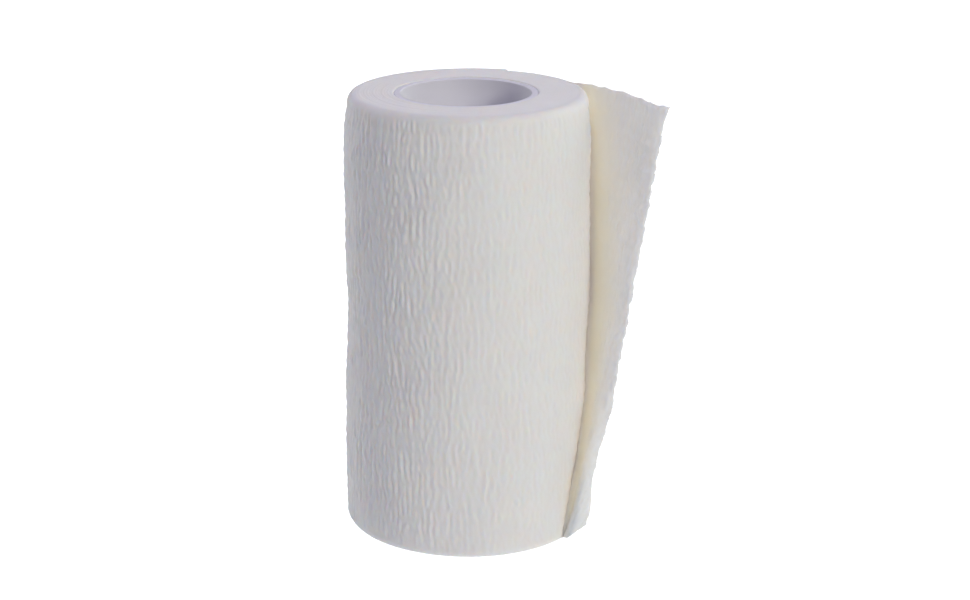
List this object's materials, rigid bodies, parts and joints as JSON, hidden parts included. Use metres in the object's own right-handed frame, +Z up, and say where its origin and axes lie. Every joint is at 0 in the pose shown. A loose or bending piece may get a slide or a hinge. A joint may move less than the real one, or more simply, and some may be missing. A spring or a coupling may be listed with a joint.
{
  "type": "cohesive bandage roll",
  "caption": "Roll of crinkled cohesive bandage on a hollow core, standing on its end, with the straight-cut loose end peeled outward, widest at the top.",
  "frame": {"origin": "middle of the whole object's box, on the surface that it stands on", "axes": "+Z up along the roll's axis; +X towards the side where the loose end stands off; the picture looks along +Y"},
  "size_m": [0.071, 0.0564, 0.1],
  "materials": {
    "bandage_cloth": "matt crinkled nonwoven, warm white",
    "core_tube": "smooth, satin, off-white"
  },
  "bodies": {
    "root": {"roll": "bandage_cloth", "loose_end": "bandage_cloth", "core": "core_tube"}
  },
  "joints": []
}
